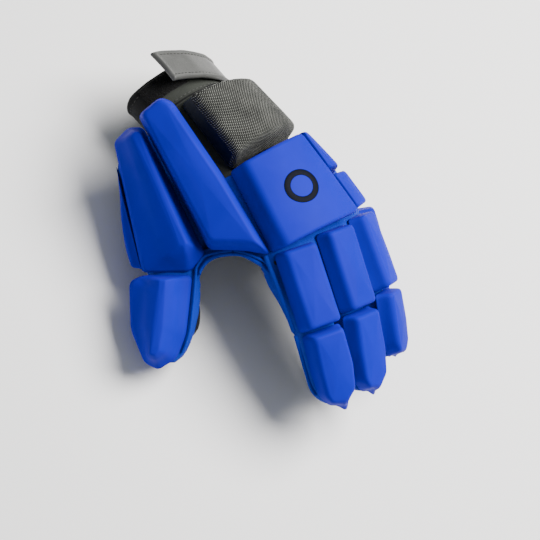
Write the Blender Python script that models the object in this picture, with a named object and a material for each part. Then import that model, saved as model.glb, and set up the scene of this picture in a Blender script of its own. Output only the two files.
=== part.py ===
"""A left-hand foam-padded indoor hockey glove: moulded foam pads over finger stalls, a palm and a wrist cuff.

The glove is modelled palm down. Its own hand frame has +X towards the little finger, +Y towards the wrist
and +Z out of the back of the hand, with its origin on the back lining at the middle finger's knuckle. Every
length below is in millimetres and every angle in degrees. The hand frame is then tilted and lifted so that
the glove stands on a table at z = 0 on its thumb, its fingertips and its cuff.
"""

import math

import bmesh
import bpy
from mathutils import Matrix, Vector

MM = 0.001

# How the hand frame stands on the table.
STAND_ROLL = 20.4
STAND_PITCH = 1.9
STAND_HEIGHT = 65.0
STAND_X = 31.5
STAND_Y = -21.1

# Fabric, foam and the gaps between sewn pieces.
COVER_WALL = 1.2
FABRIC = 1.5
GAP = 0.35
ARC_STEPS = 3

# The back of the hand is part of a cylinder along Y, and so is the wrist.
HAND_RADIUS = 76.0
HAND_TILT = -7.0
WRIST_RADIUS = 40.0
WRIST_CENTRE_X = -3.5

# The wrist hinge lies across the back of the hand, and the cuff bends down from it.
WRIST_HINGE_Y = 52.5
WRIST_HINGE_Z = -6.0
WRIST_BEND = 14.0

# The cuff's oval tube in the wrist frame: its half width and height, how deep its centre lies, and where along
# the wrist its two bands start and end.
CUFF_HALF_WIDTH = 33.5
CUFF_HALF_HEIGHT = 22.0
CUFF_CENTRE_Z = -24.5
CUFF_SIDES = 28
CUFF_CUT = 20.0
SLEEVE_Y = (3.5, 53.2)
BAND_Y = (53.6, 77.0)
STRAP_WALL = 1.6
TAB_HINGE = (3.0, 0.0, 0.0)
TAB_LIFT = 4.0

# Each finger: where its knuckle is along the arch of the hand and along Y, how far it splays, how far each of
# its two joints is curled, the lengths of its two segments and its width.
FINGERS = {
    "index": {"along": -27.7, "knuckle": -1.0, "splay": -8.5, "curl": (10.0, 12.0), "length": (48.0, 46.5),
              "width": 26.0},
    "middle": {"along": 0.0, "knuckle": -1.0, "splay": -3.5, "curl": (14.0, 12.0), "length": (48.5, 49.0),
               "width": 26.0},
    "ring": {"along": 29.0, "knuckle": 0.5, "splay": 3.5, "curl": (12.0, 12.0), "length": (46.0, 40.5),
             "width": 25.0},
    "little": {"along": 57.5, "knuckle": 5.5, "splay": 10.5, "curl": (16.0, 14.0), "length": (37.0, 34.0),
               "width": 22.0, "out": -1.5},
}
# The fingers bend about axes that lean with the arch of the hand only by this share of each finger's own tilt,
# so that a closing fist keeps them side by side.
FLEX_TILT = 0.25
# The distal pad's two outlines, as shares of half the finger's width and of the pad's length.
DISTAL_BASE = [(-0.40, -0.97), (0.40, -0.97), (0.80, -0.84), (0.94, -0.50), (0.95, 0.0), (-0.95, 0.0), (-0.94, -0.50),
               (-0.81, -0.80)]
DISTAL_TOP = [(-0.58, -0.885), (0.15, -0.925), (0.68, -0.80), (0.83, -0.50), (0.74, -0.035), (-0.70, -0.035),
              (-0.74, -0.45), (-0.73, -0.78)]
FINGER_PAD_HEIGHT = 10.0
STALL_NARROWER = 8.0
STALL_DEPTH = 18.0
STALL_CORNER = 6.0
KNUCKLE_CUT = 24.0
GROOVE = 0.6

# The thumb's two frames: a point and the distal and outward directions, in the hand frame.
THUMB_BASE_AT = (-59.3, 59.8, -49.7)
THUMB_BASE_ALONG = (-0.200, -0.965, -0.170)
THUMB_BASE_OUT = (-0.776, 0.050, 0.629)
THUMB_TIP_AT = (-73.7, 23.5, -64.6)
THUMB_TIP_ALONG = (-0.322, -0.868, -0.378)
THUMB_TIP_OUT = (-0.767, 0.006, 0.641)
# The web pad folds from the radial edge of the hand.
WEB_AT = (-39.0, 0.0, -14.5)
WEB_OUT = (-0.80, 0.0, 0.60)
# The valley between the web pad and the thumb's outer pad, in the web frame.
THUMB_FOLD_AT = (-29.7, 60.0, -1.0)

BLUE = (0.010, 0.075, 0.62, 1.0)
BLACK = (0.012, 0.012, 0.014, 1.0)
MESH_GREY = (0.10, 0.11, 0.10, 1.0)
STRAP_GREY = (0.12, 0.125, 0.12, 1.0)
FOAM = (0.55, 0.56, 0.55, 1.0)


# ---------------------------------------------------------------- materials and objects

def material(name, colour, roughness):
    made = bpy.data.materials.new(name)
    made.use_nodes = True
    shader = made.node_tree.nodes["Principled BSDF"]
    shader.inputs["Base Color"].default_value = colour
    shader.inputs["Roughness"].default_value = roughness
    made.diffuse_color = colour
    return made


def empty(name, parent, matrix):
    made = bpy.data.objects.new(name, None)
    made.empty_display_size = 0.01
    bpy.context.scene.collection.objects.link(made)
    made.parent = parent
    made.matrix_local = matrix
    return made


def solid(name, parent, mesh_data, look):
    """One named object from a bmesh in millimetres, in its parent's frame."""
    bmesh.ops.recalc_face_normals(mesh_data, faces=mesh_data.faces)
    bmesh.ops.scale(mesh_data, vec=(MM, MM, MM), verts=mesh_data.verts)
    mesh = bpy.data.meshes.new(name)
    mesh_data.to_mesh(mesh)
    mesh_data.free()
    mesh.materials.append(look)
    mesh.shade_smooth()
    mesh.set_sharp_from_angle(angle=math.radians(35))
    made = bpy.data.objects.new(name, mesh)
    bpy.context.scene.collection.objects.link(made)
    made.parent = parent
    return made


def located(at, rotation=None):
    """A frame's matrix from its origin in millimetres and its rotation."""
    turned = rotation.to_4x4() if rotation else Matrix.Identity(4)
    return Matrix.Translation(Vector(at) * MM) @ turned


def turn(degrees, axis):
    return Matrix.Rotation(math.radians(degrees), 3, axis)


def facing(along, out):
    """Rotation whose -Y runs along and whose +Z points out."""
    z = Vector(out).normalized()
    y = -Vector(along).normalized()
    y = (y - y.dot(z) * z).normalized()
    x = y.cross(z)
    return Matrix((x, y, z)).transposed()


# ---------------------------------------------------------------- outlines

def inset(corners, distances):
    """The convex outline (anticlockwise) with each edge moved inwards by its own distance."""
    count = len(corners)
    lines = []
    for i in range(count):
        a = Vector(corners[i])
        b = Vector(corners[(i + 1) % count])
        along = (b - a).normalized()
        inward = Vector((-along.y, along.x))
        lines.append((a + inward * distances[i], along))
    made = []
    for i in range(count):
        (p, d), (q, e) = lines[i - 1], lines[i]
        cross = d.x * e.y - d.y * e.x
        t = ((q - p).x * e.y - (q - p).y * e.x) / cross
        made.append(p + d * t)
    return made


def rounded(corners, radius):
    """Each corner replaced by a short curve that starts and ends radius away from it."""
    count = len(corners)
    made = []
    for i in range(count):
        before, corner, after = (Vector(corners[(i + k) % count]) for k in (-1, 0, 1))
        back = before - corner
        ahead = after - corner
        start = corner + back * min(radius / back.length, 0.45)
        end = corner + ahead * min(radius / ahead.length, 0.45)
        for step in range(ARC_STEPS):
            t = step / (ARC_STEPS - 1)
            made.append(start * (1 - t) ** 2 + corner * 2 * t * (1 - t) + end * t * t)
    return made


def pad_rings(pad, shrink, floor, roof):
    """The outlines of a pad from its base to the edge of its top, moved inwards by shrink."""
    corners = inset(pad["corners"], [shrink] * len(pad["corners"]))
    if "top" in pad:
        top = inset(pad["top"], [shrink * 0.8] * len(pad["top"]))
    else:
        top = inset(corners, pad["slopes"])
    low = [(p.x, p.y, floor) for p in rounded(corners, pad["round"])]
    shoulder = pad["shoulder"] * pad["height"]
    middle = [(p.x, p.y, shoulder) for p in rounded(corners, pad["round"])]
    high = [(p.x, p.y, roof) for p in rounded(top, pad["round"])]
    return [low, middle, high]


def strips(mesh_data, first, second):
    """Quads between two rings of vertices of the same length."""
    count = len(first)
    for i in range(count):
        j = (i + 1) % count
        mesh_data.faces.new((first[i], first[j], second[j], second[i]))


def ring_solid(outer, inner=None):
    """A closed body from outer rings, base first. With inner rings it is a shell that is open at its base."""
    made = bmesh.new()
    rings = [[made.verts.new(p) for p in ring] for ring in outer]
    for low, high in zip(rings, rings[1:]):
        strips(made, low, high)
    made.faces.new(rings[-1])
    if inner is None:
        made.faces.new(rings[0])
        return made
    hollow = [[made.verts.new(p) for p in ring] for ring in inner]
    for low, high in zip(hollow, hollow[1:]):
        strips(made, low, high)
    made.faces.new(hollow[-1])
    strips(made, rings[0], hollow[0])
    return made


def slice_along_x(mesh_data, count):
    """Cuts the faces into strips so that a bend shows as a curve."""
    xs = [v.co.x for v in mesh_data.verts]
    low, high = min(xs), max(xs)
    for i in range(1, count):
        x = low + (high - low) * i / count
        geometry = mesh_data.verts[:] + mesh_data.edges[:] + mesh_data.faces[:]
        bmesh.ops.bisect_plane(mesh_data, geom=geometry, dist=1e-4, plane_co=(x, 0, 0), plane_no=(1, 0, 0))


def hand_arch(along, y, out):
    """A point at a distance along the arch of the hand and out from its back, in the hand frame."""
    angle = math.radians(HAND_TILT) + along / HAND_RADIUS
    tilt = math.radians(HAND_TILT)
    x = (HAND_RADIUS + out) * math.sin(angle) - HAND_RADIUS * math.sin(tilt)
    z = (HAND_RADIUS + out) * math.cos(angle) - HAND_RADIUS * math.cos(tilt)
    return Vector((x, y, z))


def wrist_arch(along, y, out):
    """The same on the wrist, in the wrist frame."""
    angle = along / WRIST_RADIUS
    x = (WRIST_RADIUS + out) * math.sin(angle) + WRIST_CENTRE_X
    z = (WRIST_RADIUS + out) * math.cos(angle) - WRIST_RADIUS
    return Vector((x, y, z))


def bend(mesh_data, arch):
    for v in mesh_data.verts:
        v.co = arch(*v.co)


# ---------------------------------------------------------------- pads

def pad(name, parent, looks, arch=None, bands=1, **shape):
    """A moulded foam pad: a skin cover that is open underneath, and the foam core inside it."""
    height = shape["height"]
    outer = pad_rings(shape, 0.0, 0.0, height)
    inner = pad_rings(shape, COVER_WALL, 0.0, height - COVER_WALL)
    core = pad_rings(shape, COVER_WALL + GAP, 0.0, height - COVER_WALL - GAP)
    inner[1] = [(x, y, z - COVER_WALL / 2) for x, y, z in inner[1]]
    core[1] = [(x, y, z - COVER_WALL / 2) for x, y, z in core[1]]
    cover_mesh = ring_solid(outer, inner)
    core_mesh = ring_solid(core)
    for mesh_data in (cover_mesh, core_mesh):
        if arch:
            slice_along_x(mesh_data, bands)
            bend(mesh_data, arch)
    solid(name + "_cover", parent, cover_mesh, looks["cover"])
    solid(name + "_foam", parent, core_mesh, looks["foam"])


def finger_pads(name, finger, base, tip, looks):
    """The two pads of a finger: a block, and a block whose end narrows to a blunt point."""
    half = finger["width"] / 2
    near, far = finger["length"]
    low = -near + GROOVE
    pad(
        name + "_proximal_pad", base, looks,
        corners=[(-half, low), (half, low), (half, -GROOVE), (-half, -GROOVE)],
        slopes=[0.6, 3.2, 0.8, 3.2], round=3.0, shoulder=0.45, height=FINGER_PAD_HEIGHT,
    )
    pad(
        name + "_distal_pad", tip, looks, corners=[(x * half, min(y * far, -GROOVE)) for x, y in DISTAL_BASE],
        top=[(x * half, y * far) for x, y in DISTAL_TOP], round=3.0, shoulder=0.40, height=FINGER_PAD_HEIGHT,
    )


# ---------------------------------------------------------------- stalls, the tubes that fingers go into

def tube_section(half, top, bottom, corner, y_of, shift=0.0):
    """An eight-sided ring of points. y_of gives each point's Y from its Z."""
    flat = [
        (half - corner, top), (half, top - corner), (half, bottom + corner), (half - corner, bottom),
        (corner - half, bottom), (-half, bottom + corner), (-half, top - corner), (corner - half, top),
    ]
    return [(x + shift, y_of(z), z) for x, z in flat]


def stall(name, parent, look, half, depth, sections, closed, shift=0.0):
    """A finger tube below the pads. sections lists (share of width, Y as a function of Z) from its open end."""
    outer, inner = [], []
    for share, y_of in sections:
        width = half * share
        floor = -GAP - depth * (0.35 + 0.65 * share)
        corner = STALL_CORNER * share
        outer.append(tube_section(width, -GAP, floor, corner, y_of, shift))
        inner.append(tube_section(width - FABRIC, -GAP - FABRIC, floor + FABRIC, corner - 0.6 * share, y_of, shift))
    if closed:
        inner[-1] = [(x, y + FABRIC, z) for x, y, z in inner[-1]]
    made = bmesh.new()
    out_rings = [[made.verts.new(p) for p in ring] for ring in outer]
    in_rings = [[made.verts.new(p) for p in ring] for ring in inner]
    for rings in (out_rings, in_rings):
        for low, high in zip(rings, rings[1:]):
            strips(made, low, high)
    strips(made, out_rings[0], in_rings[0])
    if closed:
        made.faces.new(out_rings[-1])
        made.faces.new(in_rings[-1])
    else:
        strips(made, out_rings[-1], in_rings[-1])
    return solid(name, parent, made, look)


def slanted(y, degrees):
    """An end plane through the hinge line at this Y, leaning by this angle towards -Y below it."""
    slope = math.tan(math.radians(degrees))
    return lambda z: y + slope * z


def finger_stalls(name, finger, base, tip, look):
    half = (finger["width"] - STALL_NARROWER) / 2
    near, far = finger["length"]
    depth = STALL_DEPTH * finger["width"] / 26.5
    stall(
        name + "_proximal_stall", base, look, half, depth,
        [(1.0, slanted(-GROOVE, KNUCKLE_CUT)), (1.0, slanted(-near + GROOVE, -KNUCKLE_CUT))], closed=False,
    )
    stall(
        name + "_distal_stall", tip, look, half - 0.4, depth,
        [(1.0, slanted(-GROOVE, KNUCKLE_CUT)), (1.0, slanted(-far * 0.62, 0.0)), (0.55, slanted(-far + 2.0, 0.0))],
        closed=True,
    )


# ---------------------------------------------------------------- plates, the sewn panels of the hand

def plate(name, parent, look, corners, floor, roof, arch=None, bands=1):
    """A flat panel between two heights with a polygon outline, bent over an arch if one is given."""
    low = [(x, y, floor) for x, y in corners]
    high = [(x, y, roof) for x, y in corners]
    made = ring_solid([low, high])
    if arch:
        slice_along_x(made, bands)
        bend(made, arch)
    return solid(name, parent, made, look)


# ---------------------------------------------------------------- strips, tubes and cords

def offset_line(points, distance):
    """The polyline moved to its left by a distance, mitred at its corners."""
    points = [Vector(p) for p in points]
    made = []
    for i, point in enumerate(points):
        normals = []
        for a, b in ((i - 1, i), (i, i + 1)):
            if 0 <= a and b < len(points):
                along = (points[b] - points[a]).normalized()
                normals.append(Vector((-along.y, along.x)))
        normal = sum(normals, Vector((0.0, 0.0))).normalized()
        made.append(point + normal * distance / normal.dot(normals[0]))
    return made


def strip(name, parent, look, points, wall, starts, ends):
    """A sheet whose section in X and Z follows the points. starts and ends give its Y range at each point."""
    far = offset_line(points, wall)
    made = bmesh.new()
    rows = []
    for line, y_of in ((points, starts), (far, starts), (far, ends), (points, ends)):
        rows.append([made.verts.new((p[0], y_of(p[0], p[1]), p[1])) for p in line])
    for row, following in zip(rows, rows[1:] + rows[:1]):
        for i in range(len(points) - 1):
            made.faces.new((row[i], row[i + 1], following[i + 1], following[i]))
    for i in (0, -1):
        made.faces.new([row[i] for row in rows])
    return solid(name, parent, made, look)


def level(y):
    return lambda x, z: y


def cuff_point(angle, out):
    """A point around the cuff's oval. Zero degrees is the back of the wrist and 90 the little finger's side."""
    turned = math.radians(angle)
    x = WRIST_CENTRE_X + (CUFF_HALF_WIDTH + out) * math.sin(turned)
    return Vector((x, CUFF_CENTRE_Z + (CUFF_HALF_HEIGHT + out) * math.cos(turned)))


def cuff_tube(name, parent, look, out, wall, starts, ends):
    """A closed oval tube around the wrist."""
    made = bmesh.new()
    rows = []
    for distance, y_of in ((out, starts), (out, ends), (out - wall, ends), (out - wall, starts)):
        ring = [cuff_point(360.0 * i / CUFF_SIDES, distance) for i in range(CUFF_SIDES)]
        rows.append([made.verts.new((p.x, y_of(p.x, p.y), p.y)) for p in ring])
    for row, following in zip(rows, rows[1:] + rows[:1]):
        strips(made, row, following)
    return solid(name, parent, made, look)


def cuff_arc(first, last, out, steps):
    """Points around the cuff between two angles."""
    return [cuff_point(first + (last - first) * i / steps, out) for i in range(steps + 1)]


def cord(name, parent, look, points, radius, sides=6):
    """A round bead along a polyline in its parent's frame."""
    points = [Vector(p) for p in points]
    rings = []
    for i, point in enumerate(points):
        along = (points[min(i + 1, len(points) - 1)] - points[max(i - 1, 0)]).normalized()
        side = along.cross(Vector((0, 0, 1))).normalized()
        over = side.cross(along)
        angles = [math.tau * k / sides for k in range(sides)]
        rings.append([point + (side * math.cos(a) + over * math.sin(a)) * radius for a in angles])
    made = bmesh.new()
    rows = [[made.verts.new(p) for p in ring] for ring in rings]
    for row, following in zip(rows, rows[1:]):
        strips(made, row, following)
    made.faces.new(rows[0])
    made.faces.new(rows[-1])
    return solid(name, parent, made, look)


# ---------------------------------------------------------------- the glove

def clear_scene():
    for old in list(bpy.data.objects):
        bpy.data.objects.remove(old)


def make_looks():
    return {
        "blue": {"cover": material("blue_skin", BLUE, 0.62), "foam": material("foam", FOAM, 0.9)},
        "mesh": {"cover": material("black_mesh", MESH_GREY, 0.8), "foam": material("cuff_foam", FOAM, 0.9)},
        "lining": material("blue_lining", BLUE, 0.7),
        "black": material("black_fabric", BLACK, 0.85),
        "grip": material("palm_grip", BLACK, 0.7),
        "strap": material("strap_grey", STRAP_GREY, 0.45),
    }


def make_fingers(hand, looks):
    for name, finger in FINGERS.items():
        at = hand_arch(finger["along"], finger["knuckle"], finger.get("out", 0.0))
        tilt = HAND_TILT + math.degrees(finger["along"] / HAND_RADIUS)
        rotation = turn(tilt, "Y") @ turn(finger["splay"], "Z") @ turn(finger["curl"][0], "X")
        empty(name + "_flex_axis", hand, located(at, turn(tilt * FLEX_TILT, "Y") @ turn(finger["splay"], "Z")))
        base = empty(name + "_knuckle", hand, located(at, rotation))
        tip = empty(name + "_joint", base, located((0, -finger["length"][0], 0), turn(finger["curl"][1], "X")))
        finger_pads(name, finger, base, tip, looks["blue"])
        finger_stalls(name, finger, base, tip, looks["lining"])


def make_hand(hand, looks):
    """The pads and panels of the hand's back and palm."""
    pad(
        "knuckle_pad", hand, looks["blue"], arch=hand_arch, bands=5,
        corners=[(-41.0, 1.2), (15.0, 1.2), (11.0, 27.0), (6.0, 55.0), (-38.5, 53.0)],
        slopes=[-1.6, 0.3, 0.3, 0.8, 5.5], round=3.0, shoulder=0.45, height=13.0,
    )
    pad(
        "edge_pad_lower", hand, looks["blue"], arch=hand_arch, bands=3,
        corners=[(15.7, 1.0), (42.5, 5.0), (37.5, 26.3), (11.9, 26.6)],
        slopes=[0.6, 14.0, 1.4, 0.3], round=3.0, shoulder=0.35, height=12.5,
    )
    pad(
        "edge_pad_upper", hand, looks["blue"], arch=hand_arch, bands=3,
        corners=[(11.5, 27.6), (36.0, 27.3), (25.5, 52.0), (6.8, 55.3)],
        slopes=[1.4, 14.0, 0.8, 0.3], round=3.0, shoulder=0.35, height=12.5,
    )
    plate(
        "back_lining", hand, looks["lining"],
        [(-40.5, 1.5), (0.0, 1.5), (30.0, 3.5), (64.0, 9.5), (56.0, 49.5), (-38.5, 50.5)],
        -GAP - FABRIC, -GAP, hand_arch, bands=7,
    )
    palm = [(59.0, -22.5), (57.5, -29.0), (48.0, -35.5), (10.0, -38.0), (-24.0, -37.0), (-33.0, -31.0)]
    distal = lambda x, z: 12.0 + 0.12 * max(x, 0.0)
    proximal = lambda x, z: 48.0 + 0.2 * (z + 22.0)
    strip("palm_panel", hand, looks["black"], palm, -FABRIC, distal, proximal)
    grip = [(p.x, p.y) for p in offset_line(palm[2:5], GAP)]
    strip("palm_grip", hand, looks["grip"], grip, FABRIC, level(19.0), level(43.0))


def make_thumb(hand, looks):
    web = empty("web_fold", hand, located(WEB_AT, facing((0, -1, 0), WEB_OUT)))
    fold = empty("thumb_fold", web, located(THUMB_FOLD_AT))
    base_in_hand = located(THUMB_BASE_AT, facing(THUMB_BASE_ALONG, THUMB_BASE_OUT))
    tip_in_hand = located(THUMB_TIP_AT, facing(THUMB_TIP_ALONG, THUMB_TIP_OUT))
    fold_in_hand = located(WEB_AT, facing((0, -1, 0), WEB_OUT)) @ located(THUMB_FOLD_AT)
    base = empty("thumb_base", fold, fold_in_hand.inverted() @ base_in_hand)
    tip = empty("thumb_joint", base, base_in_hand.inverted() @ tip_in_hand)
    make_web(web, looks)
    pad(
        "thumb_base_pad", base, looks["blue"],
        corners=[(-18.6, -37.5), (7.6, -44.0), (18.2, -36.0), (2.2, 42.3), (-6.0, 44.5), (-16.0, 38.5)],
        top=[(5.6, -30.5), (8.5, -32.0), (11.3, -30.5), (1.0, 37.0), (-2.0, 38.5), (-4.8, 36.5)],
        round=3.0, shoulder=0.30, height=14.0,
    )
    plate(
        "thumb_base_lining", base, looks["lining"],
        [(-16.0, -1.0), (8.0, -1.0), (1.0, 39.0), (-8.0, 40.0), (-15.0, 31.0)], -GAP - FABRIC, -GAP,
    )
    side = empty("thumb_side", base, located((-18.9, 0, -1.5), turn(-95.0, "Y")))
    pad(
        "thumb_side_pad", side, looks["blue"],
        corners=[(-13.0, -33.0), (-1.0, -35.5), (-0.5, 27.0), (-11.0, 24.0)],
        top=[(-11.0, -30.5), (-3.0, -32.5), (-3.0, -14.0), (-10.0, -14.0)],
        round=3.0, shoulder=0.25, height=6.0,
    )
    stall(
        "thumb_base_stall", base, looks["lining"], 14.5, 23.0,
        [(1.0, slanted(-3.0, 0.0)), (1.0, slanted(-34.5, -20.0))], closed=False,
    )
    pad(
        "thumb_tip_pad", tip, looks["blue"],
        corners=[
            (-5.5, -50.3), (2.5, -51.5), (10.5, -48.0), (16.2, -34.0), (19.6, -0.5), (-7.0, -0.5), (-15.6, -6.0),
            (-14.0, -27.0),
        ],
        top=[
            (-3.8, -44.5), (0.0, -45.5), (2.5, -43.0), (4.4, -30.0), (6.0, -5.0), (0.5, -5.0), (-1.0, -11.0),
            (-2.6, -30.0),
        ],
        round=3.0, shoulder=0.28, height=13.0,
    )
    stall(
        "thumb_tip_stall", tip, looks["lining"], 16.0, 22.0,
        [(1.0, slanted(-1.5, 20.0)), (1.0, slanted(-31.0, 0.0)), (0.5, slanted(-49.0, 0.0))],
        closed=True, shift=4.0,
    )
    plate(
        "thumb_grip_patch", tip, looks["grip"], [(-5.0, -29.0), (11.0, -29.0), (11.0, -11.0), (-5.0, -11.0)],
        -GAP * 2 - 22.0 - FABRIC, -GAP * 2 - 22.0,
    )


def make_web(web, looks):
    pad(
        "web_pad", web, looks["blue"],
        corners=[
            (-29.0, 20.5), (-12.5, 10.5), (-0.5, 0.8), (-1.5, 52.0), (-5.5, 103.0), (-10.5, 108.8), (-26.3, 106.0),
        ],
        slopes=[4.0, 4.0, 1.8, 1.8, 2.0, 2.5, 3.0], round=3.5, shoulder=0.35, height=12.0,
    )
    plate(
        "web_lining", web, looks["lining"],
        [
            (-28.5, 15.0), (-19.5, 11.7), (-13.8, 8.2), (-10.0, 3.0), (-2.0, 2.0), (-3.0, 52.0), (-7.0, 100.0),
            (-23.5, 100.0),
        ],
        -GAP - FABRIC, -GAP,
    )
    cord(
        "web_binding", web, looks["lining"],
        [(-28.2, 12.1, -1.2), (-19.2, 8.9, -1.2), (-13.3, 5.0, -1.2), (-9.7, -0.2, -1.2)], 1.2,
    )


def make_wrist(hand, looks):
    wrist = empty("wrist_hinge", hand, located((0, WRIST_HINGE_Y, WRIST_HINGE_Z), turn(-WRIST_BEND, "X")))
    pad(
        "wrist_pad", wrist, looks["mesh"], arch=wrist_arch, bands=7,
        corners=[(-29.0, 3.0), (23.5, 4.0), (18.5, 47.0), (-26.0, 53.3)],
        slopes=[2.5, 4.5, 3.0, 4.5], round=4.0, shoulder=0.5, height=15.0,
    )
    slope = math.tan(math.radians(CUFF_CUT))
    start = lambda x, z: SLEEVE_Y[0] - slope * z
    cuff_tube("cuff_sleeve", wrist, looks["black"], 0.0, FABRIC, start, level(SLEEVE_Y[1]))
    cuff_tube("wristband", wrist, looks["black"], 0.0, 2.0, level(BAND_Y[0]), level(BAND_Y[1]))
    strap = cuff_arc(150.0, 16.0, GAP, 10)
    strip("wrist_strap", wrist, looks["black"], strap, -STRAP_WALL, level(55.5), level(75.5))
    patch = cuff_arc(-20.0, -75.0, GAP, 5)
    strip("loop_patch", wrist, looks["black"], patch, -1.0, level(56.5), level(74.5))
    hinge = empty("tab_hinge", wrist, located(TAB_HINGE, turn(TAB_LIFT, "Y")))
    plate(
        "strap_tab", hinge, looks["strap"], [(-37.0, 62.0), (0.0, 55.0), (0.0, 76.0), (-37.5, 83.5)], 0.4, 2.6,
    )
    plate(
        "hook_patch", hinge, looks["black"], [(-34.0, 64.5), (-14.0, 61.0), (-14.0, 76.5), (-34.0, 80.5)],
        -0.9, 0.1,
    )


def main():
    clear_scene()
    looks = make_looks()
    stand = turn(STAND_PITCH, "X") @ turn(STAND_ROLL, "Y")
    hand = empty("hand", None, located((STAND_X, STAND_Y, STAND_HEIGHT), stand))
    make_fingers(hand, looks)
    make_hand(hand, looks)
    make_thumb(hand, looks)
    make_wrist(hand, looks)


main()
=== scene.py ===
"""The looks of a left-hand foam hockey glove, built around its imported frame.

Shapes are laid out in millimetres in the frame of the segment they belong to: the hand, each finger's two
segments, the web, the thumb and the wrist. As in the CAD, +X points to the little finger, +Y to the wrist
and +Z out of the back of the hand, and the hand frame is tilted so that the glove stands on z = 0.
"""

import math

import bmesh
import bpy
from mathutils import Matrix, Vector, bvhtree, noise


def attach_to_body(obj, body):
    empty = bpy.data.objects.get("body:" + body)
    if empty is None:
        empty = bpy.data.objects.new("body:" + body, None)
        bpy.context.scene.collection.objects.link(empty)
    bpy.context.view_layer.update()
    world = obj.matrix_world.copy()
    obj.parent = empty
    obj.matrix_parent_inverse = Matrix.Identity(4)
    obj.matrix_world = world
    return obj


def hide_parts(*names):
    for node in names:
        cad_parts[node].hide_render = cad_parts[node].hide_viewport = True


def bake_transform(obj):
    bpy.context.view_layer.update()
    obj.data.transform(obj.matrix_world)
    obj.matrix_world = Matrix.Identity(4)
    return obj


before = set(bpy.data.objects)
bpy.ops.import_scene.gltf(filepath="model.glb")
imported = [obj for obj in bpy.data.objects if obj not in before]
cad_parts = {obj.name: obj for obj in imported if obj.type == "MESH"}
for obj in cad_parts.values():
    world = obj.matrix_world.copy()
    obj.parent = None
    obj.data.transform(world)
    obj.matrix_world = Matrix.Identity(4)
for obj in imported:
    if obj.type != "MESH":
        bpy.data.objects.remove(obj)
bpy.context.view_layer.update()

MM = 0.001
UP = Vector((0, 0, 1))

# ---------------------------------------------------------------- the glove's frames, as in the CAD

STAND_ROLL, STAND_PITCH = 20.4, 1.9
STAND_AT = (31.5, -21.1, 65.0)
HAND_RADIUS, HAND_TILT = 76.0, -7.0
WRIST_RADIUS, WRIST_CENTRE_X = 40.0, -3.5
WRIST_HINGE = (0.0, 52.5, -6.0)
WRIST_BEND = 14.0
CUFF_HALF_WIDTH, CUFF_HALF_HEIGHT, CUFF_CENTRE_Z = 33.5, 22.0, -24.5
CUFF_END = 53.2
BAND_Y = (53.6, 77.0)
FINGERS = {
    "index": {"along": -27.7, "knuckle": -1.0, "splay": -8.5, "curl": (10.0, 12.0), "length": (48.0, 46.5),
              "width": 26.0},
    "middle": {"along": 0.0, "knuckle": -1.0, "splay": -3.5, "curl": (14.0, 12.0), "length": (48.5, 49.0),
               "width": 26.0},
    "ring": {"along": 29.0, "knuckle": 0.5, "splay": 3.5, "curl": (12.0, 12.0), "length": (46.0, 40.5),
             "width": 25.0},
    "little": {"along": 57.5, "knuckle": 5.5, "splay": 10.5, "curl": (16.0, 14.0), "length": (37.0, 34.0),
               "width": 22.0, "out": -1.5},
}
# The distal pad's two outlines, as shares of half the finger's width and of the pad's length.
DISTAL_BASE = [(-0.40, -0.97), (0.40, -0.97), (0.80, -0.84), (0.94, -0.50), (0.95, 0.0), (-0.95, 0.0),
               (-0.94, -0.50), (-0.81, -0.80)]
DISTAL_TOP = [(-0.58, -0.885), (0.15, -0.925), (0.68, -0.80), (0.83, -0.50), (0.74, -0.035), (-0.70, -0.035),
              (-0.74, -0.45), (-0.73, -0.78)]
# Where each distal pad's seam is pulled out to a small point.
BEAKS = {"index": (3.8, -50.0), "middle": (4.7, -51.8), "ring": (9.0, -41.5), "little": (4.0, -36.0)}
FINGER_PAD_HEIGHT = 10.0
GROOVE = 0.6
THUMB_BASE = ((-59.3, 59.8, -49.7), (-0.200, -0.965, -0.170), (-0.776, 0.050, 0.629))
THUMB_TIP = ((-73.7, 23.5, -64.6), (-0.322, -0.868, -0.378), (-0.767, 0.006, 0.641))
WEB = ((-39.0, 0.0, -14.5), (0.0, -1.0, 0.0), (-0.80, 0.0, 0.60))
WEB_PAD = [(-29.0, 20.5), (-12.5, 10.5), (-0.5, 0.8), (-1.5, 52.0), (-5.5, 103.0), (-10.5, 108.8),
           (-26.3, 106.0)]
TAB_HINGE, TAB_LIFT = (3.0, 0.0, 0.0), 4.0


def turn(degrees, axis):
    return Matrix.Rotation(math.radians(degrees), 4, axis)


def at(x, y, z):
    return Matrix.Translation((x, y, z))


def facing(place, along, out):
    """A frame whose -Y runs along and whose +Z points out."""
    z = Vector(out).normalized()
    y = -Vector(along).normalized()
    y = (y - y.dot(z) * z).normalized()
    x = y.cross(z)
    return at(*place) @ Matrix((x, y, z)).transposed().to_4x4()


def hand_arch(along, y, out):
    """A point along the arch of the back of the hand and out from it, in the hand frame."""
    tilt = math.radians(HAND_TILT)
    angle = tilt + along / HAND_RADIUS
    x = (HAND_RADIUS + out) * math.sin(angle) - HAND_RADIUS * math.sin(tilt)
    z = (HAND_RADIUS + out) * math.cos(angle) - HAND_RADIUS * math.cos(tilt)
    return Vector((x, y, z))


def wrist_arch(along, y, out):
    """The same on the back of the wrist, in the wrist frame."""
    angle = along / WRIST_RADIUS
    x = (WRIST_RADIUS + out) * math.sin(angle) + WRIST_CENTRE_X
    z = (WRIST_RADIUS + out) * math.cos(angle) - WRIST_RADIUS
    return Vector((x, y, z))


def flat(x, y, z):
    return Vector((x, y, z))


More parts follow.
